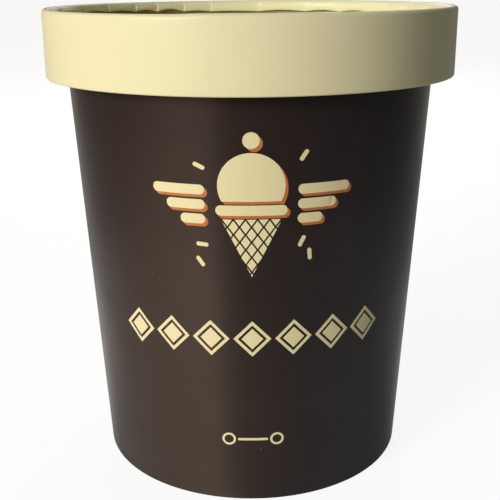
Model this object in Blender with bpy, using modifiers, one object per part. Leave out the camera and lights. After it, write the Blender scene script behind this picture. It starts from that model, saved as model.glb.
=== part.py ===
"""A shut paperboard gelato tub of about half a litre, with its press-on board lid.

Metres, +Z up. The origin is the middle of the base, on the surface that the tub stands on, and
the front faces -Y. The tub is one solid, because it is shut and nothing inside it can be seen.
"""

import math
import random

import bpy

MM = 0.001
FULL_TURN = 2 * math.pi

# Driving dimensions
TOTAL_HEIGHT = 109.0 * MM
BASE_RADIUS = 37.6 * MM
WALL_SLOPE = 0.0561
LID_RADIUS = 47.9 * MM
LID_HEIGHT = 15.3 * MM
BOARD = 0.4 * MM
FIT_GAP = 0.3 * MM

# Lid: a band of doubled board, turned in at the top over a sunk panel and hemmed at its foot
SKIRT_INNER = LID_RADIUS - 2 * BOARD
BAND_FOOT = TOTAL_HEIGHT - LID_HEIGHT
HEM_EDGE = 0.35 * MM
CREST_RADIUS = 0.85 * MM
FLAP_RADIUS = LID_RADIUS - 2 * CREST_RADIUS
FLAP_DEPTH = 3.4 * MM
PANEL_DEPTH = 3.9 * MM
PANEL_THICKNESS = 0.6 * MM
PANEL_RADIUS = SKIRT_INNER - FIT_GAP

# The flap is too long for the smaller circle that it is turned in to, so it takes up in pleats.
# Those at the back, listed from the right, show over the near rim, and a draw gives the others.
PLEATS_AT_BACK = [width * MM for width in (10.0, 13.3, 13.7, 8.0, 8.2, 6.9)]
BACK_PLEATS_START = math.radians(57.6)
PLEAT_SEED = 11
PLEAT_WIDTH_LEAST = 6.5 * MM
PLEAT_WIDTH_MOST = 13.5 * MM
PLEAT_STRENGTH_LEAST = 0.35
PLEAT_STEP = 0.35 * MM
PLEAT_SAG = 0.18 * MM
PLEAT_HEM_WAVE = 0.2 * MM

# Tub: a conical wall with a rolled bead at its mouth and a ring round its sunk base
BEAD_RADIUS = 1.7 * MM
BEAD_OUTER_RADIUS = SKIRT_INNER - FIT_GAP
MOUTH_HEIGHT = TOTAL_HEIGHT - PANEL_DEPTH - PANEL_THICKNESS - FIT_GAP
RING_INNER = BASE_RADIUS - 3 * BOARD
RING_EDGE = 0.25 * MM
BASE_RECESS = 6.5 * MM

# Base panel: a board disc in the recess behind the ring
BASE_PANEL_THICKNESS = 0.5 * MM
BASE_PANEL_RADIUS = RING_INNER - FIT_GAP

# Side seams: one end of the board laps over the other and leaves a step
TUB_SEAM_ANGLE = math.radians(82)
LID_SEAM_ANGLE = math.radians(128)
SEAM_LAP = 7.0 * MM
SEAM_RAMP = 6.0 * MM
SEAM_EDGE_WIDTH = 0.1 * MM

# Fineness of the meshes
TURN_STEPS = 144
DISC_STEPS = 96
BEAD_POINTS = 8
CREST_POINTS = 5
EDGE_POINTS = 4
HEM_POINTS = 3
MERGE = 0.01 * MM
SHARP_ANGLE = math.radians(35)

# Linear colours
BROWN_INK = (0.042, 0.026, 0.020, 1)
CREAM_INK = (0.855, 0.794, 0.485, 1)
BARE_PULP = (0.750, 0.700, 0.600, 1)


def clear_scene():
    for obj in list(bpy.data.objects):
        bpy.data.objects.remove(obj)


def board(name, colour, roughness):
    """A printed or bare paperboard finish."""
    material = bpy.data.materials.new(name)
    material.use_nodes = True
    shader = material.node_tree.nodes["Principled BSDF"]
    shader.inputs["Base Color"].default_value = colour
    shader.inputs["Roughness"].default_value = roughness
    shader.inputs["Metallic"].default_value = 0
    return material


def arc(centre, radius, start, end, count):
    """Points of a round corner in the profile plane, from one angle in degrees to another."""
    turns = [math.radians(start + (end - start) * i / (count - 1)) for i in range(count)]
    return [(centre[0] + radius * math.cos(a), centre[1] + radius * math.sin(a)) for a in turns]


def wall_radius(height):
    """Outer radius of the tub's wall at a height above the base."""
    return BASE_RADIUS + WALL_SLOPE * height


def tub_profile():
    """From the middle of the mouth, out over the bead, down the wall and into the base recess."""
    bead_centre = (BEAD_OUTER_RADIUS - BEAD_RADIUS, MOUTH_HEIGHT - BEAD_RADIUS)
    under_bead = MOUTH_HEIGHT - 2 * BEAD_RADIUS
    return [
        (0, MOUTH_HEIGHT),
        *arc(bead_centre, BEAD_RADIUS, 90, -90, BEAD_POINTS),
        (wall_radius(under_bead), under_bead),
        (wall_radius(BAND_FOOT), BAND_FOOT),
        *arc((BASE_RADIUS - RING_EDGE, RING_EDGE), RING_EDGE, 0, -90, EDGE_POINTS),
        *arc((RING_INNER + RING_EDGE, RING_EDGE), RING_EDGE, -90, -180, EDGE_POINTS),
        (RING_INNER, BASE_RECESS),
        (0, BASE_RECESS),
    ]


def band_profile():
    """From the crest of the rim, down outside, round the foot, up inside and along the flap."""
    crest = (LID_RADIUS - CREST_RADIUS, TOTAL_HEIGHT - CREST_RADIUS)
    foot = BAND_FOOT + HEM_EDGE
    hem = TOTAL_HEIGHT - FLAP_DEPTH
    return [
        *arc(crest, CREST_RADIUS, 90, 0, CREST_POINTS),
        *arc((LID_RADIUS - HEM_EDGE, foot), HEM_EDGE, 0, -90, HEM_POINTS),
        *arc((SKIRT_INNER + HEM_EDGE, foot), HEM_EDGE, -90, -180, HEM_POINTS),
        (SKIRT_INNER, hem),
        *arc((FLAP_RADIUS + HEM_EDGE, hem + HEM_EDGE), HEM_EDGE, -90, -180, HEM_POINTS),
        (FLAP_RADIUS, TOTAL_HEIGHT - FLAP_DEPTH / 2),
        *arc(crest, CREST_RADIUS, 180, 90, CREST_POINTS)[:-1],
    ]


def turned(name, profile, closed, material):
    """The profile turned about Z by a Screw modifier, then made a mesh that can be shaped further."""
    line = bpy.data.meshes.new(name)
    edges = [(i, i + 1) for i in range(len(profile) - 1)]
    if closed:
        edges.append((len(profile) - 1, 0))
    line.from_pydata([(radius, 0, height) for radius, height in profile], edges, [])
    obj = bpy.data.objects.new(name, line)
    bpy.context.scene.collection.objects.link(obj)
    screw = obj.modifiers.new("turn", "SCREW")
    screw.angle = FULL_TURN
    screw.steps = TURN_STEPS
    screw.render_steps = TURN_STEPS
    screw.use_merge_vertices = True
    screw.merge_threshold = MERGE
    evaluated = obj.evaluated_get(bpy.context.evaluated_depsgraph_get())
    obj.data = bpy.data.meshes.new_from_object(evaluated)
    obj.modifiers.clear()
    obj.data.materials.append(material)
    return obj


def shade(obj):
    obj.data.shade_smooth()
    obj.data.set_sharp_from_angle(angle=SHARP_ANGLE)


def smoothstep(value):
    value = min(max(value, 0), 1)
    return value * value * (3 - 2 * value)


def lap_height(turn, radius):
    """Rise of the lapped board, from its cut edge at turn 0 to where it lies flat again."""
    return BOARD * (1 - smoothstep((turn * radius - SEAM_LAP) / SEAM_RAMP))


def lap_seam(obj, seam_angle, share_at):
    """Raises the outer skin over the side seam, and draws the last column up to the cut edge.

    share_at gives, for a radius and height, how much of the lap shows there."""
    for vertex in obj.data.vertices:
        radius = math.hypot(vertex.co.x, vertex.co.y)
        share = share_at(radius, vertex.co.z)
        if share == 0:
            continue
        turn = math.atan2(vertex.co.y, vertex.co.x) % FULL_TURN
        column = round(turn / FULL_TURN * TURN_STEPS) % TURN_STEPS
        turn = FULL_TURN * column / TURN_STEPS
        if column == TURN_STEPS - 1:
            turn = FULL_TURN - SEAM_EDGE_WIDTH / radius
        radius += share * lap_height(turn, radius)
        vertex.co.x = radius * math.cos(turn)
        vertex.co.y = radius * math.sin(turn)
    obj.rotation_euler.z = seam_angle


def make_pleats():
    """Start, end and strength of each pleat, as angles counted on from the first one's start."""
    draw = random.Random(PLEAT_SEED)
    left = FULL_TURN * FLAP_RADIUS - sum(PLEATS_AT_BACK)
    drawn = []
    while sum(drawn) < left:
        drawn.append(draw.uniform(PLEAT_WIDTH_LEAST, PLEAT_WIDTH_MOST))
    widths = PLEATS_AT_BACK + [width * left / sum(drawn) for width in drawn]
    pleats = []
    start = 0
    for width in widths:
        end = start + width / FLAP_RADIUS
        pleats.append((start, end, draw.uniform(PLEAT_STRENGTH_LEAST, 1)))
        start = end
    return pleats


def pleat_at(turn, pleats):
    """How far the flap steps inward and how far it sags at this angle, from 0 to 1 each."""
    turn %= FULL_TURN
    start, end, strength = next((p for p in pleats if turn < p[1]), pleats[-1])
    across = (turn - start) / (end - start)
    return strength * (1 - across), strength * math.sin(math.pi * across)


def pleat_flap(obj):
    """Draws the flap into overlapping pleats that fade out towards the crest."""
    pleats = make_pleats()
    first = BACK_PLEATS_START - LID_SEAM_ANGLE
    for vertex in obj.data.vertices:
        radius = math.hypot(vertex.co.x, vertex.co.y)
        if radius > SKIRT_INNER - MERGE:
            continue
        stepped, sagged = pleat_at(math.atan2(vertex.co.y, vertex.co.x) - first, pleats)
        share = smoothstep((TOTAL_HEIGHT - vertex.co.z) / FLAP_DEPTH)
        scale = 1 - share * (PLEAT_STEP * stepped + PLEAT_SAG * sagged) / radius
        vertex.co.x *= scale
        vertex.co.y *= scale
        vertex.co.z += share * PLEAT_HEM_WAVE * (stepped - sagged)


def make_tub(material):
    """Wall, mouth bead and base ring are one sheet of board, so they are one solid."""
    tub = turned("tub", tub_profile(), closed=False, material=material)

    def share_at(radius, height):
        on_wall = radius > wall_radius(height) - BOARD
        return 1 if on_wall and MERGE < height < BAND_FOOT + MERGE else 0

    lap_seam(tub, TUB_SEAM_ANGLE, share_at)
    shade(tub)


def make_lid_band(material):
    """The band holds the panel under its turned-in flap."""
    band = turned("lid_band", band_profile(), closed=True, material=material)
    pleat_flap(band)

    def share_at(radius, height):
        if radius < LID_RADIUS - BOARD:
            return 0
        return smoothstep((TOTAL_HEIGHT - height) / CREST_RADIUS)

    lap_seam(band, LID_SEAM_ANGLE, share_at)
    shade(band)


def make_disc(name, radius, thickness, underside, material):
    """A flat punched board disc."""
    bpy.ops.mesh.primitive_cylinder_add(
        vertices=DISC_STEPS,
        radius=radius,
        depth=thickness,
        location=(0, 0, underside + thickness / 2),
    )
    disc = bpy.context.object
    disc.name = name
    disc.data.materials.append(material)
    shade(disc)


def gather(collection_name):
    """Moves every part into one collection named for the object."""
    collection = bpy.data.collections.new(collection_name)
    bpy.context.scene.collection.children.link(collection)
    for obj in list(bpy.data.objects):
        for owner in list(obj.users_collection):
            owner.objects.unlink(obj)
        collection.objects.link(obj)


def main():
    clear_scene()
    brown = board("brown_board", BROWN_INK, roughness=0.42)
    cream = board("cream_board", CREAM_INK, roughness=0.28)
    bare = board("bare_board", BARE_PULP, roughness=0.55)
    make_tub(brown)
    make_lid_band(cream)
    panel_underside = TOTAL_HEIGHT - PANEL_DEPTH - PANEL_THICKNESS
    make_disc("lid_panel", PANEL_RADIUS, PANEL_THICKNESS, panel_underside, cream)
    base_underside = BASE_RECESS - FIT_GAP - BASE_PANEL_THICKNESS
    make_disc("base_panel", BASE_PANEL_RADIUS, BASE_PANEL_THICKNESS, base_underside, bare)
    gather("gelato_tub")


main()
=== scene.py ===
"""Looks of a shut paperboard gelato tub with its press-on board lid, on a pale studio floor."""

import math
import random

import bmesh
import bpy
from mathutils import Matrix, Vector


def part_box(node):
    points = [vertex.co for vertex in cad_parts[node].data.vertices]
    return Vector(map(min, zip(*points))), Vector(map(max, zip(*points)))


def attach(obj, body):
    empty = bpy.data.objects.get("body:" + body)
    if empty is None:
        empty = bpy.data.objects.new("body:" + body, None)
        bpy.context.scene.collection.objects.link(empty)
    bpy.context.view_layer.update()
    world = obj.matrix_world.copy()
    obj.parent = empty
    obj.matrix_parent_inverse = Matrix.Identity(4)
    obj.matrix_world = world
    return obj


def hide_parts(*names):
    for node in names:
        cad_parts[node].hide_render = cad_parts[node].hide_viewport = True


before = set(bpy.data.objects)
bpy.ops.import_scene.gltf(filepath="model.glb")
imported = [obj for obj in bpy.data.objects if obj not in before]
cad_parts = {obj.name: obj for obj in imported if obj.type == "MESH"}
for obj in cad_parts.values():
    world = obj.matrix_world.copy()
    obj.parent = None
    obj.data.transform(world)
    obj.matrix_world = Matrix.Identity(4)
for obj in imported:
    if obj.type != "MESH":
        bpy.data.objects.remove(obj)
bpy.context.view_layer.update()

# Tub wall. A fan of printed cupstock is rolled into a cone and its ends are lapped and sealed by
# heat at the back. The lower edge is folded up inside, round the skirt of the base panel, and
# pressed against it with a knurled wheel, and the upper edge is rolled out into a bead.
MM = 0.001
FULL_TURN = 2 * math.pi
BOARD = 0.4 * MM
BASE_RADIUS = 37.6 * MM
WALL_SLOPE = 0.0561
TURN_STEPS = 540
SHARP_ANGLE = math.radians(40)
MERGE_DISTANCE = 0.001 * MM
TOLERANCE = 0.01 * MM

tub_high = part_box("tub")[1]
band_low, band_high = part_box("lid_band")
mouth = tub_high.z
bead_outer = tub_high.x
bead_radius = 1.7 * MM
ring_inner = BASE_RADIUS - 3 * BOARD
ring_edge = 0.45 * MM
hem_top = 5.05 * MM
recess_top = 6.5 * MM
knurl_pitch = 2.1 * MM
knurl_depth = 0.14 * MM
knurl_low = 1.3 * MM
knurl_high = 4.4 * MM
tub_seam_angle = math.radians(82)
seam_lap = 7.0 * MM
seam_ramp = 6.0 * MM
seam_edge_width = 0.04 * MM


def wall_radius(height):
    """Outer radius of the tub's wall at a height above the base."""
    return BASE_RADIUS + WALL_SLOPE * height


def smoothstep(value):
    """A share from 0 to 1 that starts and ends gently."""
    value = min(max(value, 0), 1)
    return value * value * (3 - 2 * value)


def arc(centre, radius, start, end, count):
    """Points of a round corner of an outline, from one angle in degrees to another."""
    turns = [math.radians(start + (end - start) * i / (count - 1)) for i in range(count)]
    return [(centre[0] + radius * math.cos(a), centre[1] + radius * math.sin(a)) for a in turns]


def rows(start, end, count):
    """Evenly spaced points between two points of an outline, without the two themselves."""
    start, end = Vector(start), Vector(end)
    return [tuple(start.lerp(end, i / (count + 1))) for i in range(1, count + 1)]


def turned(outline, closed=False):
    """Spins an outline of (radius, height) once round the tub's axis, with its poles merged."""
    shape = bmesh.new()
    points = [shape.verts.new((radius, 0, height)) for radius, height in outline]
    following = points[1:] + points[:1] if closed else points[1:]
    edges = [shape.edges.new(pair) for pair in zip(points, following)]
    bmesh.ops.spin(
        shape,
        geom=points + edges,
        axis=(0, 0, 1),
        cent=(0, 0, 0),
        angle=FULL_TURN,
        steps=TURN_STEPS,
        use_merge=True,
    )
    bmesh.ops.remove_doubles(shape, verts=shape.verts, dist=MERGE_DISTANCE)
    bmesh.ops.recalc_face_normals(shape, faces=shape.faces)
    return shape


def lap_seam(shape, share_at, edge_material):
    """Raises the skin over a side seam at angle 0, and draws the last column up to its cut edge.

    share_at gives, for a radius and height, how much of the lap shows there."""
    raised = set()
    for vertex in shape.verts:
        radius = math.hypot(vertex.co.x, vertex.co.y)
        share = share_at(radius, vertex.co.z)
        if share == 0:
            continue
        turn = math.atan2(vertex.co.y, vertex.co.x) % FULL_TURN
        column = round(turn / FULL_TURN * TURN_STEPS) % TURN_STEPS
        turn = FULL_TURN * column / TURN_STEPS
        if column == 0:
            raised.add(vertex)
        if column == TURN_STEPS - 1:
            turn = FULL_TURN - seam_edge_width / radius
            raised.add(vertex)
        lift = BOARD * (1 - smoothstep((turn * radius - seam_lap) / seam_ramp))
        radius += share * lift
        vertex.co.x = radius * math.cos(turn)
        vertex.co.y = radius * math.sin(turn)
    for face in shape.faces:
        if raised.issuperset(face.verts):
            face.material_index = edge_material


def finished(shape, name, materials):
    """A smooth shaded object of the shape, at the origin, that moves with the tub."""
    mesh = bpy.data.meshes.new(name)
    shape.to_mesh(mesh)
    shape.free()
    for material in materials:
        mesh.materials.append(material)
    mesh.shade_smooth()
    mesh.set_sharp_from_angle(angle=SHARP_ANGLE)
    piece = bpy.data.objects.new(name, mesh)
    bpy.context.scene.collection.objects.link(piece)
    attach(piece, "root")
    return piece


def linear(hex_colour):
    """A linear RGBA colour from an sRGB hex value such as 'a1b2c3'."""
    values = [int(hex_colour[i : i + 2], 16) / 255 for i in (0, 2, 4)]
    return [v / 12.92 if v <= 0.04045 else ((v + 0.055) / 1.055) ** 2.4 for v in values] + [1]


def add(tree, kind, settings=None, links=None):
    """A new node, with its properties and socket values set and its inputs linked."""
    node = tree.nodes.new(kind)
    for name, value in (settings or {}).items():
        if isinstance(name, int) or name in node.inputs:
            node.inputs[name].default_value = value
        else:
            setattr(node, name, value)
    for name, source in (links or {}).items():
        tree.links.new(source, node.inputs[name])
    return node


def started(name, **sockets):
    """A new material with these constants on its shader: (material, tree, shader, coordinates)."""
    material = bpy.data.materials.new(name)
    material.use_nodes = True
    tree = material.node_tree
    shader = tree.nodes["Principled BSDF"]
    for socket, value in sockets.items():
        shader.inputs[socket.replace("_", " ")].default_value = value
    coordinates = add(tree, "ShaderNodeTexCoord").outputs["Object"]
    return material, tree, shader, coordinates


# Printed cupstock: ink under a satin polyethylene film. The eye sees a soft sheen, uneven over a
# centimetre or two where the board bends, a fine fibre relief, and a stray pale fibre or two.
def printed_cupstock(name, ink, ink_deep, roughness, specular):
    cloud_size = 9 * MM
    sheen_spread = 0.05
    fibre_spacing = 6 * MM
    pale_fibre = "a89f96"
    speck_core, speck_edge, speck_strength = 0.014, 0.024, 0.45
    bend_size, bend_depth = 16 * MM, 0.12 * MM
    grain_size, grain_depth = 0.7 * MM, 0.012 * MM

    material, tree, shader, coordinates = started(name, Specular_IOR_Level=specular)
    cloud = add(tree, "ShaderNodeTexNoise", {"Scale": 1 / cloud_size, "Detail": 3}, {"Vector": coordinates})
    mottled = add(
        tree,
        "ShaderNodeMix",
        {"data_type": "RGBA", 6: linear(ink), 7: linear(ink_deep)},
        {0: cloud.outputs["Fac"]},
    )
    fibres = add(
        tree,
        "ShaderNodeTexVoronoi",
        {"Scale": 1 / fibre_spacing},
        {"Vector": coordinates},
    )
    speck = add(
        tree,
        "ShaderNodeMapRange",
        {"From Min": speck_edge, "From Max": speck_core, "To Max": speck_strength},
        {"Value": fibres.outputs["Distance"]},
    )
    specked = add(
        tree,
        "ShaderNodeMix",
        {"data_type": "RGBA", 7: linear(pale_fibre)},
        {0: speck.outputs[0], 6: mottled.outputs[2]},
    )
    tree.links.new(specked.outputs[2], shader.inputs["Base Color"])
    sheen = add(
        tree,
        "ShaderNodeMapRange",
        {"To Min": roughness - sheen_spread, "To Max": roughness + sheen_spread},
        {"Value": cloud.outputs["Fac"]},
    )
    tree.links.new(sheen.outputs[0], shader.inputs["Roughness"])
    bend = add(tree, "ShaderNodeTexNoise", {"Scale": 1 / bend_size, "Detail": 1}, {"Vector": coordinates})
    bent = add(
        tree,
        "ShaderNodeBump",
        {"Strength": 1, "Distance": bend_depth},
        {"Height": bend.outputs["Fac"]},
    )
    relief = add(tree, "ShaderNodeTexNoise", {"Scale": 1 / grain_size, "Detail": 2}, {"Vector": coordinates})
    relieved = add(
        tree,
        "ShaderNodeBump",
        {"Strength": 1, "Distance": grain_depth},
        {"Height": relief.outputs["Fac"], "Normal": bent.outputs[0]},
    )
    tree.links.new(relieved.outputs[0], shader.inputs["Normal"])
    return material


# Cut board: the layers of pulp at a sheared edge, with no film or ink. The eye sees a pale, dry
# line with a faint grain along the sheet.
def cut_board_edge():
    grain_size = 0.5 * MM
    material, tree, shader, coordinates = started("cut_board_edge", Roughness=0.85)
    grain = add(tree, "ShaderNodeTexNoise", {"Scale": 1 / grain_size, "Detail": 3}, {"Vector": coordinates})
    tone = add(
        tree,
        "ShaderNodeMix",
        {"data_type": "RGBA", 6: linear("c9bda6"), 7: linear("e6dece")},
        {0: grain.outputs["Fac"]},
    )
    tree.links.new(tone.outputs[2], shader.inputs["Base Color"])
    return material


brown_print = printed_cupstock("brown_printed_cupstock", "2e221d", "261c19", roughness=0.25, specular=0.5)
cut_edge = cut_board_edge()

bead_centre = (bead_outer - bead_radius, mouth - bead_radius)
under_bead = (wall_radius(mouth - 2 * bead_radius), mouth - 2 * bead_radius)
wall_top = (wall_radius(band_low.z), band_low.z)
wall_foot = (wall_radius(ring_edge), ring_edge)
tub_shape = turned(
    [
        (0, mouth),
        *arc(bead_centre, bead_radius, 90, -90, 12),
        under_bead,
        wall_top,
        *rows(wall_top, wall_foot, 24),
        wall_foot,
        *arc((BASE_RADIUS - ring_edge, ring_edge), ring_edge, 0, -90, 6)[1:],
        *arc((ring_inner + ring_edge, ring_edge), ring_edge, -90, -180, 6),
        *rows((ring_inner, ring_edge), (ring_inner, hem_top), 12),
        (ring_inner, hem_top),
        (ring_inner + BOARD, hem_top),
        (ring_inner + BOARD, recess_top),
        (0, recess_top),
    ]
)
for vertex in tub_shape.verts:
    radius = math.hypot(vertex.co.x, vertex.co.y)
    if abs(radius - ring_inner) < TOLERANCE and knurl_low < vertex.co.z < knurl_high:
        turn = math.atan2(vertex.co.y, vertex.co.x)
        press = 0.5 + 0.5 * math.cos(turn * round(FULL_TURN * ring_inner / knurl_pitch))
        scale = 1 + knurl_depth * press / radius
        vertex.co.x *= scale
        vertex.co.y *= scale
for face in tub_shape.faces:
    if all(abs(v.co.z - hem_top) < TOLERANCE for v in face.verts):
        face.material_index = 1


def tub_lap(radius, height):
    """All of the lap shows on the wall's outer face below the lid, and none elsewhere."""
    on_wall = radius > wall_radius(height) - BOARD
    return 1 if on_wall and TOLERANCE < height < band_low.z + TOLERANCE else 0


lap_seam(tub_shape, tub_lap, edge_material=1)
bmesh.ops.rotate(tub_shape, verts=tub_shape.verts, matrix=Matrix.Rotation(tub_seam_angle, 3, "Z"))
tub_wall = finished(tub_shape, "tub_wall", [brown_print, cut_edge])
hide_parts("tub")

# Base panel. A disc of unprinted cupstock is drawn into a shallow pan, pushed up the cone, and
# held by the wall's folded hem, which closes on its skirt.
panel_low, panel_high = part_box("base_panel")
fillet = 0.75 * MM
skirt_gap = 0.05 * MM
hem_gap = 0.02 * MM
skirt_outer = ring_inner + BOARD - skirt_gap
skirt_foot = hem_top + hem_gap


# Plain cupstock: bleached board with a thin film and no ink. The eye sees a clean, slightly warm
# white with a dull gloss and a cloudy formation.
def plain_cupstock():
    cloud_size = 5 * MM
    grain_size, grain_depth = 0.8 * MM, 0.02 * MM
    material, tree, shader, coordinates = started("plain_cupstock", Roughness=0.5)
    cloud = add(tree, "ShaderNodeTexNoise", {"Scale": 1 / cloud_size, "Detail": 4}, {"Vector": coordinates})
    tone = add(
        tree,
        "ShaderNodeMix",
        {"data_type": "RGBA", 6: linear("ece7dc"), 7: linear("dfd9cb")},
        {0: cloud.outputs["Fac"]},
    )
    tree.links.new(tone.outputs[2], shader.inputs["Base Color"])
    relief = add(tree, "ShaderNodeTexNoise", {"Scale": 1 / grain_size, "Detail": 2}, {"Vector": coordinates})
    bump = add(
        tree,
        "ShaderNodeBump",
        {"Strength": 1, "Distance": grain_depth},
        {"Height": relief.outputs["Fac"]},
    )
    tree.links.new(bump.outputs[0], shader.inputs["Normal"])
    return material


base_shape = turned(
    [
        (0, panel_high.z),
        (skirt_outer, panel_high.z),
        (skirt_outer, skirt_foot),
        *arc((skirt_outer - fillet, skirt_foot), fillet, 0, 90, 8)[1:-1],
        (skirt_outer - fillet, panel_low.z),
        (0, panel_low.z),
    ]
)
base_panel = finished(base_shape, "base_pan", [plain_cupstock()])
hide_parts("base_panel")

# Lid band. A strip of cream printed board is wound into a ring, glued at a lap and hemmed at its
# foot. Its upper edge is turned in over the panel, and takes up in pleats because the circle is
# smaller there. The raw hem curls back, lifts off in places, and stands higher at the left.
CREST_RADIUS = 0.85 * MM
flap_depth = 3.1 * MM
flap_edge = 0.1 * MM
pleat_seed = 11
pleats_at_back = [width * MM for width in (10.0, 13.3, 13.7, 8.0, 8.2, 6.9)]
back_pleats_start = math.radians(57.6)
pleat_width_least = 6.5 * MM
pleat_width_most = 13.5 * MM
pleat_strength_least = 0.35
hem_lifts_at_back = (0.75, 0.7, 0.3, 0.5, 1.3, 1.1)
pleat_step = 0.45 * MM
crease_width = 0.05 * MM
fold_depth = 1.3 * MM
pleat_sag = 0.22 * MM
pleat_reach = 0.55
hem_lift = 0.6 * MM
hem_curl = 0.3 * MM
curl_start = 0.6
hem_rise = 1.1 * MM
hem_rise_angle = math.radians(165)
hem_rise_power = 6
hem_edge = 0.35 * MM
crest_dip = 0.16 * MM
dent_start, dent_end = math.radians(186), math.radians(260)
dent_fade = math.radians(9)
lid_seam_angle = math.radians(128)

lid_top = band_high.z
lid_radius = band_high.x
skirt_inner = lid_radius - 2 * BOARD
flap_radius = lid_radius - 2 * CREST_RADIUS
flap_back = flap_radius + BOARD
fold_top = lid_top - fold_depth
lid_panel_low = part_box("lid_panel")[0].z


# Painted shade inside the fold: a darker, olive tone of the cream board. It shows as a dull line where the
# hem lifts.
def painted_fold_shade():
    cloud_size = 2 * MM
    material, tree, shader, coordinates = started("painted_fold_shade_board", Roughness=0.6)
    cloud = add(tree, "ShaderNodeTexNoise", {"Scale": 1 / cloud_size, "Detail": 3}, {"Vector": coordinates})
    tone = add(
        tree,
        "ShaderNodeMix",
        {"data_type": "RGBA", 6: linear("9c8c5e"), 7: linear("84764e")},
        {0: cloud.outputs["Fac"]},
    )
    tree.links.new(tone.outputs[2], shader.inputs["Base Color"])
    return material


def make_pleats():
    """Start, end, strength and hem lift of each pleat, its angles counted from the first start."""
    draw = random.Random(pleat_seed)
    left = FULL_TURN * flap_radius - sum(pleats_at_back)
    drawn = []
    while sum(drawn) < left:
        drawn.append(draw.uniform(pleat_width_least, pleat_width_most))
    widths = pleats_at_back + [width * left / sum(drawn) for width in drawn]
    pleats = []
    start = 0
    for width in widths:
        end = start + width / flap_radius
        strength = draw.uniform(pleat_strength_least, 1)
        at_back = len(pleats) < len(hem_lifts_at_back)
        lift = hem_lifts_at_back[len(pleats)] if at_back else (1 + strength) / 2
        pleats.append((start, end, strength, lift))
        start = end
    return pleats


def pleat_at(turn, pleats):
    """How far the flap steps inward, how far it sags and how far its hem lifts, from 0 to 1."""
    turn %= FULL_TURN
    start, end, strength, lift = next((p for p in pleats if turn < p[1]), pleats[-1])
    across = (turn - start) / (end - start)
    bow = math.sin(math.pi * across)
    return strength * (1 - (1 - across) ** 3), strength * bow, lift * bow


def beside_crease(turn, pleats):
    """How far a column next to a crease turns, so that the crease is as sharp as a real fold."""
    turn %= FULL_TURN
    step = FULL_TURN / TURN_STEPS
    margin = crease_width / flap_radius
    for start, end, _, _ in pleats:
        if start <= turn < start + step:
            return start + margin - turn
        if end - step <= turn < end:
            return end - margin - turn
    return 0


crest = (lid_radius - CREST_RADIUS, lid_top - CREST_RADIUS)
foot = band_low.z + hem_edge
flap_foot = lid_top - flap_depth
band_shape = turned(
    [
        *arc(crest, CREST_RADIUS, 90, 0, 9),
        *rows((lid_radius, crest[1]), (lid_radius, foot), 12),
        *arc((lid_radius - hem_edge, foot), hem_edge, 0, -90, 6),
        *arc((skirt_inner + hem_edge, foot), hem_edge, -90, -180, 6),
        (skirt_inner, lid_panel_low),
        (skirt_inner, fold_top),
        (flap_back, fold_top),
        *rows((flap_back, fold_top), (flap_back, flap_foot), 4),
        (flap_back, flap_foot),
        (flap_radius + flap_edge, flap_foot),
        (flap_radius, flap_foot + flap_edge),
        *rows((flap_radius, flap_foot + flap_edge), (flap_radius, crest[1]), 10),
        *arc(crest, CREST_RADIUS, 180, 90, 9)[:-1],
    ],
    closed=True,
)
# Painted shade: the faces inside the fold, from the lid panel's foot up, take the third material.
for face in band_shape.faces:
    radii = [math.hypot(v.co.x, v.co.y) for v in face.verts]
    in_fold = flap_back - TOLERANCE < min(radii) and max(radii) < skirt_inner + TOLERANCE
    if in_fold and all(v.co.z > lid_panel_low - TOLERANCE for v in face.verts):
        face.material_index = 2

pleats = make_pleats()
first_pleat = back_pleats_start - lid_seam_angle
for vertex in band_shape.verts:
    radius = math.hypot(vertex.co.x, vertex.co.y)
    turn = math.atan2(vertex.co.y, vertex.co.x)
    if radius < skirt_inner - TOLERANCE:
        down = (lid_top - vertex.co.z) / flap_depth
        share = smoothstep(down / pleat_reach)
        turn += share * beside_crease(turn - first_pleat, pleats)
        stepped, sagged, lifted = pleat_at(turn - first_pleat, pleats)
        radius -= share * (pleat_step * stepped + pleat_sag * sagged)
        radius += hem_curl * max((down - curl_start) / (1 - curl_start), 0) ** 2
        vertex.co.x = radius * math.cos(turn)
        vertex.co.y = radius * math.sin(turn)
        around = 0.5 + 0.5 * math.cos(turn + lid_seam_angle - hem_rise_angle)
        shortening = hem_rise / (flap_depth - CREST_RADIUS) * around**hem_rise_power
        vertex.co.z += shortening * max(crest[1] - vertex.co.z, 0)
        vertex.co.z += (1 - shortening) * hem_lift * lifted * smoothstep(down) ** 3
    from_seam = (turn + lid_seam_angle) % FULL_TURN
    inside_dent = min(from_seam - dent_start, dent_end - from_seam)
    dip = crest_dip * smoothstep(inside_dent / dent_fade)
    vertex.co.z -= dip * smoothstep((vertex.co.z - foot) / (lid_top - foot))


def band_lap(radius, height):
    """All of the lap shows on the band's outer face, and it fades out over the crest."""
    if radius < lid_radius - BOARD:
        return 0
    return smoothstep((lid_top - height) / CREST_RADIUS)


lap_seam(band_shape, band_lap, edge_material=1)
bmesh.ops.rotate(band_shape, verts=band_shape.verts, matrix=Matrix.Rotation(lid_seam_angle, 3, "Z"))
cream_print = printed_cupstock("cream_printed_lid_board", "efe8bc", "ebe3b1", roughness=0.36, specular=0.22)
# The third material is the painted shade inside the fold.
lid_ring = finished(band_shape, "lid_ring", [cream_print, cut_edge, painted_fold_shade()])
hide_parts("lid_band")

# Lid panel. A punched disc of the same cream board lies under the flap, and bows down a little
# towards its middle, as the board is held only at its rim.
disc_low, disc_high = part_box("lid_panel")
disc_radius = disc_high.x
disc_bow = 0.35 * MM
bow_rings = 10
disc_top = [
    (
        disc_radius * (1 - i / bow_rings),
        disc_high.z - disc_bow * smoothstep(i / bow_rings),
    )
    for i in range(bow_rings + 1)
]
disc_thickness = disc_high.z - disc_low.z
disc_under = [(radius, height - disc_thickness) for radius, height in reversed(disc_top)]
disc_shape = turned(disc_top[::-1] + disc_under[::-1])
lid_disc = finished(disc_shape, "lid_disc", [cream_print])
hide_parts("lid_panel")

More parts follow.
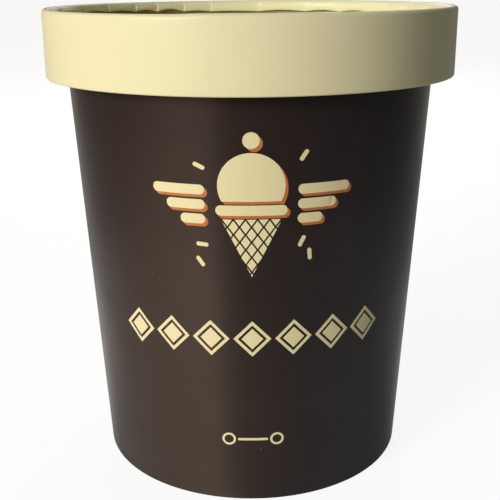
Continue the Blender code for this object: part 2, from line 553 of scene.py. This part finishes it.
# Print. Fields of cream and orange ink lie under the film on the front of the wall: a scoop on a
# waffle cone between stepped bars, a chain of diamonds, and a small rule with a ring at each end.
CREAM_HEIGHT = 0.05 * MM
ORANGE_HEIGHT = 0.03 * MM
INK_DEPTH = 0.03 * MM
STRIP = 1.0 * MM
UPRIGHT = Matrix.Rotation(math.radians(90), 4, "X")


def at(across, height):
    """A place on the unrolled wall, in mm from the front's middle line and from the base."""
    return Matrix.Translation((across * MM, 0, height * MM))


def disc_of_ink(sheet, across, height, radius, sides=40):
    """A round field of ink, or one with few sides and a point at the bottom."""
    made = bmesh.ops.create_circle(
        sheet,
        cap_ends=True,
        segments=sides,
        radius=radius * MM,
        matrix=at(across, height) @ UPRIGHT,
    )
    return made["verts"]


def bar_of_ink(sheet, left, right, low, high, corner):
    """A bar with rounded corners."""
    width, depth = (right - left) * MM, (high - low) * MM
    made = bmesh.ops.create_grid(
        sheet,
        x_segments=1,
        y_segments=1,
        size=0.5,
        matrix=at((left + right) / 2, (low + high) / 2) @ UPRIGHT @ Matrix.Diagonal((width, depth, 1, 1)),
    )
    bmesh.ops.bevel(
        sheet,
        geom=made["verts"],
        offset=corner * MM,
        offset_type="OFFSET",
        segments=8,
        profile=0.5,
        affect="VERTICES",
        material=-1,
    )


def kept_side(sheet, verts, point, normal):
    """Cuts what these vertices span along a line, and drops the side that the normal points to."""
    marked = set(verts)
    faces = [face for face in sheet.faces if marked.issuperset(face.verts)]
    edges = {edge for face in faces for edge in face.edges}
    cut = bmesh.ops.bisect_plane(
        sheet,
        geom=list(marked) + list(edges) + faces,
        plane_co=(point[0] * MM, 0, point[1] * MM),
        plane_no=(normal[0], 0, normal[1]),
        clear_outer=True,
    )
    return [v for v in cut["geom"] if isinstance(v, bmesh.types.BMVert)]


def stepped_bars(sheet):
    """Three bars at each side of the cone, shorter towards the bottom."""
    top, pitch, thickness, corner = 75.4, 3.1, 2.1, 1.0
    start, reaches = 9.6, (21.0, 18.0, 15.0)
    for side in (-1, 1):
        for step, reach in enumerate(reaches):
            high = top - pitch * step
            left, right = sorted((side * start, side * reach))
            bar_of_ink(sheet, left, right, high - thickness, high, corner)


def scoop_and_band(sheet):
    """A round scoop, cut flat at its foot, with a small ball on top and the cone's lip below."""
    scoop_middle, scoop_radius, scoop_foot = 75.2, 6.9, 72.0
    ball_middle, ball_radius = 84.6, 1.7
    lip_reach, lip_low, lip_high, lip_corner = 7.4, 69.0, 71.2, 1.05
    scoop = disc_of_ink(sheet, 0, scoop_middle, scoop_radius, sides=64)
    kept_side(sheet, scoop, (0, scoop_foot), (0, -1))
    disc_of_ink(sheet, 0, ball_middle, ball_radius)
    bar_of_ink(sheet, -lip_reach, lip_reach, lip_low, lip_high, lip_corner)


def waffle_cone(sheet):
    """Rows of small diamonds, cut along the two sides of a cone that narrows to its tip."""
    lip, tip, half = 68.2, 55.6, 6.3
    pitch, rise = 2.5, 3.3
    cell_half_width, cell_half_height = 0.40 * pitch, 0.42 * rise
    cells = []
    for row in range(10):
        height = lip - row * rise / 2
        for column in range(-3, 4):
            across = (column + 0.5 * (row % 2)) * pitch
            verts = disc_of_ink(sheet, 0, 0, 1, sides=4)
            size = Matrix.Diagonal((cell_half_width, 1, cell_half_height, 1))
            bmesh.ops.transform(sheet, matrix=at(across, height) @ size, verts=verts)
            cells += verts
    cells = kept_side(sheet, cells, (0, lip), (0, 1))
    for side in (-1, 1):
        outward = Vector((side * (lip - tip), -half)).normalized()
        cells = kept_side(sheet, cells, (0, tip), outward)


def diamond_chain(sheet):
    """Seven outlined diamonds side by side, each with a small solid one in its middle."""
    pitch, middle = 9.0, 41.2
    half_width, half_height = 4.1, 4.2
    line_width, gap_width = 0.95 * MM, 0.8 * MM
    for index in range(-3, 4):
        verts = disc_of_ink(sheet, 0, 0, 1, sides=4)
        size = Matrix.Diagonal((half_width, 1, half_height, 1))
        bmesh.ops.transform(sheet, matrix=at(index * pitch, middle) @ size, verts=verts)
        face = next(f for f in sheet.faces if set(verts) == set(f.verts))
        face.normal_update()
        bmesh.ops.inset_region(sheet, faces=[face], thickness=line_width, use_boundary=True)
        gap = bmesh.ops.inset_region(sheet, faces=[face], thickness=gap_width, use_boundary=True)
        bmesh.ops.delete(sheet, geom=gap["faces"], context="FACES_ONLY")


def small_rule(sheet):
    """A thin bar between two rings."""
    bar_reach, bar_low, bar_high, bar_corner = 3.4, 15.9, 16.5, 0.28
    ring_place, ring_middle, ring_radius = 5.4, 16.2, 1.55
    line_width = 0.5 * MM
    bar_of_ink(sheet, -bar_reach, bar_reach, bar_low, bar_high, bar_corner)
    for side in (-1, 1):
        verts = disc_of_ink(sheet, side * ring_place, ring_middle, ring_radius)
        face = next(f for f in sheet.faces if set(verts) == set(f.verts))
        face.normal_update()
        bmesh.ops.inset_region(sheet, faces=[face], thickness=line_width, use_boundary=True)
        bmesh.ops.delete(sheet, geom=[face], context="FACES_ONLY")


def sprinkles(sheet):
    """Short grains scattered above and below the bars, none touching another."""
    seed, tries, spacing = 5, 300, 3.4
    field_middle, field_radius = Vector((0, 71)), 16.5
    field_reach, field_low, field_high = 15.5, 57, 85
    bars_low, bars_high = 63.5, 78.5
    cone_reach = 9.5
    grain_reach, grain_half_width, grain_corner = 1.3, 0.45, 0.42
    draw = random.Random(seed)
    placed = []
    for _ in range(tries):
        spot = Vector((draw.uniform(-field_reach, field_reach), draw.uniform(field_low, field_high)))
        beside_bars = bars_low < spot.y < bars_high
        on_cone = abs(spot.x) < cone_reach
        too_far = (spot - field_middle).length > field_radius
        if beside_bars or on_cone or too_far or any((spot - p).length < spacing for p in placed):
            continue
        placed.append(spot)
        before = set(sheet.verts)
        bar_of_ink(sheet, -grain_reach, grain_reach, -grain_half_width, grain_half_width, grain_corner)
        verts = [v for v in sheet.verts if v not in before]
        lean = Matrix.Rotation(draw.uniform(0, math.pi), 4, "Y")
        bmesh.ops.transform(sheet, matrix=at(*spot) @ lean, verts=verts)


def wrapped(sheet, reference_height, ink_height, shift=(0, 0)):
    """Gives a flat field of ink its thickness and lays it on the cone.

    Upright lines follow the wall's slant, and the arc lengths are true at the reference height."""
    bmesh.ops.translate(sheet, verts=sheet.verts, vec=(shift[0] * MM, 0, shift[1] * MM))
    reach = max(abs(v.co.x) for v in sheet.verts)
    count = math.ceil(reach / STRIP)
    for index in range(-count, count + 1):
        bmesh.ops.bisect_plane(
            sheet,
            geom=sheet.verts[:] + sheet.edges[:] + sheet.faces[:],
            plane_co=(index * STRIP, 0, 0),
            plane_no=(1, 0, 0),
        )
    bmesh.ops.triangulate(sheet, faces=sheet.faces)
    top = set(sheet.verts)
    bmesh.ops.extrude_face_region(sheet, geom=sheet.faces[:], use_keep_orig=True)
    reference_radius = wall_radius(reference_height * MM)
    for vertex in sheet.verts:
        turn = vertex.co.x / reference_radius
        radius = wall_radius(vertex.co.z) + (ink_height if vertex in top else -INK_DEPTH)
        vertex.co = (radius * math.sin(turn), -radius * math.cos(turn), vertex.co.z)
    bmesh.ops.recalc_face_normals(sheet, faces=sheet.faces)


# Opaque offset inks under the same film as the wall. The eye sees flat, clean colour that keeps
# the wall's sheen and relief.
cream_ink = printed_cupstock("cream_opaque_ink", "f2e7b6", "eee0aa", roughness=0.28, specular=0.5)
orange_ink = printed_cupstock("orange_opaque_ink", "c9783f", "bf6f3a", roughness=0.28, specular=0.5)


def print_field(name, drawings, reference_height, ink, ink_height, shift=(0, 0)):
    """The drawings of one ink, made on a flat sheet and laid on the wall as one piece."""
    sheet = bmesh.new()
    for drawing in drawings:
        drawing(sheet)
    wrapped(sheet, reference_height, ink_height, shift)
    return finished(sheet, name, [ink])


emblem_height, chain_height, rule_height = 71, 41, 16
shadow_parts = [stepped_bars, scoop_and_band]
shadow_shift = (0.6, -0.6)
print_field("emblem_shadow", shadow_parts, emblem_height, orange_ink, ORANGE_HEIGHT, shadow_shift)
emblem_parts = [stepped_bars, scoop_and_band, waffle_cone, sprinkles]
for name, drawings, reference_height in (
    ("emblem", emblem_parts, emblem_height),
    ("diamond_chain", [diamond_chain], chain_height),
    ("small_rule", [small_rule], rule_height),
):
    field = print_field(name, drawings, reference_height, cream_ink, CREAM_HEIGHT)

# Studio. The tub stands on a wide pale floor, whose edge rises in a round cove. Only the camera
# sees it. What the tub mirrors, and is filled in by, is a room set by direction: a warm table at
# the left and front left, and a dim room at the right.
floor_reach = 7.0
floor_rise = 4.0
floor_cove = 2.0
floor_sides = 96
cove_segments = 20
floor_shape = bmesh.new()
bmesh.ops.create_circle(floor_shape, cap_ends=True, segments=floor_sides, radius=floor_reach)
corner = floor_shape.edges[:]
rim = bmesh.ops.extrude_edge_only(floor_shape, edges=corner)["geom"]
bmesh.ops.translate(
    floor_shape,
    verts=[v for v in rim if isinstance(v, bmesh.types.BMVert)],
    vec=(0, 0, floor_rise),
)
bmesh.ops.bevel(
    floor_shape,
    geom=corner,
    offset=floor_cove,
    offset_type="OFFSET",
    segments=cove_segments,
    profile=0.5,
    affect="EDGES",
    material=-1,
)
bmesh.ops.recalc_face_normals(floor_shape, faces=floor_shape.faces)
floor_mesh = bpy.data.meshes.new("floor")
floor_shape.to_mesh(floor_mesh)
floor_shape.free()
floor_mesh.shade_smooth()
floor = bpy.data.objects.new("floor", floor_mesh)
bpy.context.scene.collection.objects.link(floor)
floor.visible_diffuse = False
floor.visible_glossy = False
floor.visible_shadow = False

# Backlit acrylic: a matt sheet lit from behind. The eye sees an even, nearly white ground with a
# soft shadow where the tub stands.
floor_material = started(
    "pale_backlit_acrylic",
    Base_Color=linear("6e6d6b"),
    Roughness=0.9,
    Emission_Color=linear("ffffff"),
    Emission_Strength=0.88,
)[0]
floor_mesh.materials.append(floor_material)

world = bpy.data.worlds.new("room")
bpy.context.scene.world = world
world.use_nodes = True
room = world.node_tree
direction = add(room, "ShaderNodeTexCoord").outputs["Generated"]
parts = add(room, "ShaderNodeSeparateXYZ", links={0: direction}).outputs
behind = add(room, "ShaderNodeMath", {"operation": "MULTIPLY", 1: -1}, {0: parts["Y"]})
azimuth = add(room, "ShaderNodeMath", {"operation": "ARCTAN2"}, {0: parts["X"], 1: behind.outputs[0]})
way_round = add(
    room,
    "ShaderNodeMapRange",
    {"From Min": -math.pi, "From Max": math.pi},
    {"Value": azimuth.outputs[0]},
)


def round_the_room(stops):
    """Colours of the surroundings by azimuth in degrees: 0 is in front, and 90 to the right."""
    ramp = add(room, "ShaderNodeValToRGB", links={0: way_round.outputs[0]})
    elements = ramp.color_ramp.elements
    while len(elements) < len(stops):
        elements.new(0.5)
    for element, (degrees, colour) in zip(elements, stops):
        element.position = (degrees + 180) / 360
        element.color = (*colour, 1)
    return ramp.outputs["Color"]


table_edge = round_the_room(
    (
        (-180, (0.38, 0.38, 0.37)),
        (-140, (0.37, 0.36, 0.34)),
        (-120, (0.22, 0.21, 0.20)),
        (-95, (0.17, 0.15, 0.14)),
        (-75, (0.40, 0.27, 0.21)),
        (-60, (0.67, 0.45, 0.33)),
        (-27, (0.90, 0.60, 0.42)),
        (-18, (0.12, 0.10, 0.10)),
        (20, (0.05, 0.08, 0.09)),
        (60, (0.08, 0.12, 0.14)),
        (120, (0.15, 0.15, 0.15)),
        (150, (0.20, 0.20, 0.20)),
        (180, (0.38, 0.38, 0.37)),
    )
)
table_middle = round_the_room(
    (
        (-180, (0.64, 0.64, 0.63)),
        (-140, (0.64, 0.62, 0.60)),
        (-120, (0.62, 0.57, 0.53)),
        (-95, (0.72, 0.58, 0.50)),
        (-60, (1.20, 0.88, 0.66)),
        (-27, (1.70, 1.32, 1.00)),
        (-18, (0.36, 0.30, 0.27)),
        (-6, (0.15, 0.13, 0.13)),
        (30, (0.10, 0.13, 0.14)),
        (70, (0.26, 0.29, 0.30)),
        (110, (0.30, 0.30, 0.30)),
        (140, (0.28, 0.28, 0.28)),
        (180, (0.64, 0.64, 0.63)),
    )
)
table_top = round_the_room(
    (
        (-180, (0.38, 0.38, 0.38)),
        (-140, (0.27, 0.27, 0.26)),
        (-95, (0.76, 0.65, 0.57)),
        (-60, (1.20, 0.92, 0.72)),
        (-27, (1.70, 1.32, 1.00)),
        (-18, (0.85, 0.68, 0.58)),
        (-6, (0.54, 0.48, 0.44)),
        (30, (0.35, 0.37, 0.37)),
        (75, (0.37, 0.40, 0.41)),
        (120, (0.17, 0.17, 0.17)),
        (150, (0.12, 0.12, 0.12)),
        (180, (0.38, 0.38, 0.38)),
    )
)
surroundings = round_the_room(
    (
        (-180, (0.44, 0.42, 0.38)),
        (-148, (0.31, 0.30, 0.27)),
        (-128, (0.13, 0.125, 0.115)),
        (-60, (0.10, 0.10, 0.10)),
        (60, (0.07, 0.07, 0.07)),
        (110, (0.10, 0.09, 0.08)),
        (140, (0.21, 0.20, 0.18)),
        (180, (0.44, 0.42, 0.38)),
    )
)

# Each ring of the table takes over between two heights of the direction, where level is 0 and
# straight down is -1. The ceiling does the same above.
rings = ((table_edge, -0.16, -0.26), (table_middle, -0.29, -0.40), (table_top, -0.42, -0.54))
for ring, height_from, height_to in rings:
    depth = add(
        room,
        "ShaderNodeMapRange",
        {"From Min": height_from, "From Max": height_to, "interpolation_type": "SMOOTHSTEP"},
        {"Value": parts["Z"]},
    )
    links = {0: depth.outputs[0], 6: surroundings, 7: ring}
    surroundings = add(room, "ShaderNodeMix", {"data_type": "RGBA"}, links).outputs[2]
ceiling = add(
    room,
    "ShaderNodeMapRange",
    {"From Min": 0.55, "From Max": 0.85, "interpolation_type": "SMOOTHSTEP"},
    {"Value": parts["Z"]},
)
surroundings = add(
    room,
    "ShaderNodeMix",
    {"data_type": "RGBA", 7: (0.22, 0.22, 0.21, 1)},
    {0: ceiling.outputs[0], 6: surroundings},
).outputs[2]
room.links.new(surroundings, room.nodes["Background"].inputs["Color"])
below = add(
    room,
    "ShaderNodeMapRange",
    {"From Min": -0.46, "From Max": -0.64, "To Min": 1.0, "To Max": 0.68},
    {"Value": parts["Z"]},
)
room.links.new(below.outputs[0], room.nodes["Background"].inputs["Strength"])


def softbox(name, azimuth_degrees, elevation_degrees, distance, width, height, power):
    """An area light that faces the tub's middle. Azimuth 0 is in front, and 90 to the right."""
    turn, lift = math.radians(azimuth_degrees), math.radians(elevation_degrees)
    away = Vector((math.sin(turn) * math.cos(lift), -math.cos(turn) * math.cos(lift), math.sin(lift)))
    lamp = bpy.data.lights.new(name, "AREA")
    lamp.shape = "RECTANGLE"
    lamp.size = width
    lamp.size_y = height
    lamp.energy = power
    light = bpy.data.objects.new(name, lamp)
    bpy.context.scene.collection.objects.link(light)
    light.location = away * distance + Vector((0, 0, lid_top / 2))
    light.rotation_euler = away.to_track_quat("Z", "Y").to_euler()


softbox(
    "window_left",
    azimuth_degrees=-43,
    elevation_degrees=19,
    distance=2.0,
    width=0.67,
    height=0.67,
    power=34.4,
)
softbox(
    "back",
    azimuth_degrees=175,
    elevation_degrees=30,
    distance=0.9,
    width=0.5,
    height=0.5,
    power=1.7,
)

# Camera. It stands a little above the lid, about 0.2 m in front of the tub's axis, and looks down
# at the angle that was worked out from the outlines of the lid, wall and base.
FRAME_PIXELS = 500
SENSOR = 36.0
focal_pixels = 864.5
camera_place = (-0.36 * MM, -211.2 * MM, 115.2 * MM)
pitch = 0.3051
roll = -0.00785
camera_data = bpy.data.cameras.new("camera")
camera_data.sensor_width = SENSOR
camera_data.lens = focal_pixels / FRAME_PIXELS * SENSOR
camera = bpy.data.objects.new("camera", camera_data)
bpy.context.scene.collection.objects.link(camera)
camera.matrix_world = (
    Matrix.Translation(camera_place)
    @ Matrix.Rotation(math.pi / 2 - pitch, 4, "X")
    @ Matrix.Rotation(roll, 4, "Z")
)
bpy.context.scene.camera = camera
bpy.context.scene.view_settings.view_transform = "Standard"
